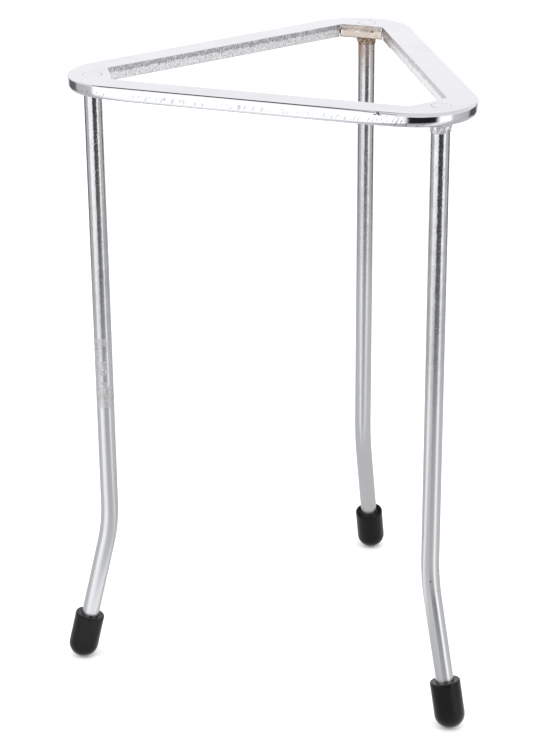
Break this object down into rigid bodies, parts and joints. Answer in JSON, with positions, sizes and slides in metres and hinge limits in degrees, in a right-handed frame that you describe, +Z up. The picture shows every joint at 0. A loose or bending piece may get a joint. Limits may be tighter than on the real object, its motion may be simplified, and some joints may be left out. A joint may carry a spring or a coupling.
{
  "type": "laboratory tripod stand",
  "caption": "Triangular tripod stand for heating glassware over a burner: a flat open ring on rod legs with bent ends and push-on foot caps.",
  "frame": {"origin": "under the middle of the whole stand's box, on the surface that the feet rest on", "axes": "+Z up; the ring's front side runs along X on the -Y side, and the back leg is at +Y"},
  "size_m": [0.1448, 0.1296, 0.2093],
  "materials": {
    "ring_plating": "bright plating over sheared and dressed steel",
    "rod_plating": "bright plating over drawn rod, finely pitted",
    "weld_metal": "plated weld metal, lumpy",
    "rusty_weld": "weld metal, dull and rust-brown",
    "cap_plastic": "glossy black soft vinyl"
  },
  "bodies": {
    "root": {"top_plate": "ring_plating", "leg_left": "rod_plating", "leg_right": "rod_plating", "leg_back": "rod_plating", "weld_left": "weld_metal", "weld_right": "weld_metal", "weld_back": "rusty_weld", "foot_left": "cap_plastic", "foot_right": "cap_plastic", "foot_back": "cap_plastic"}
  },
  "joints": []
}
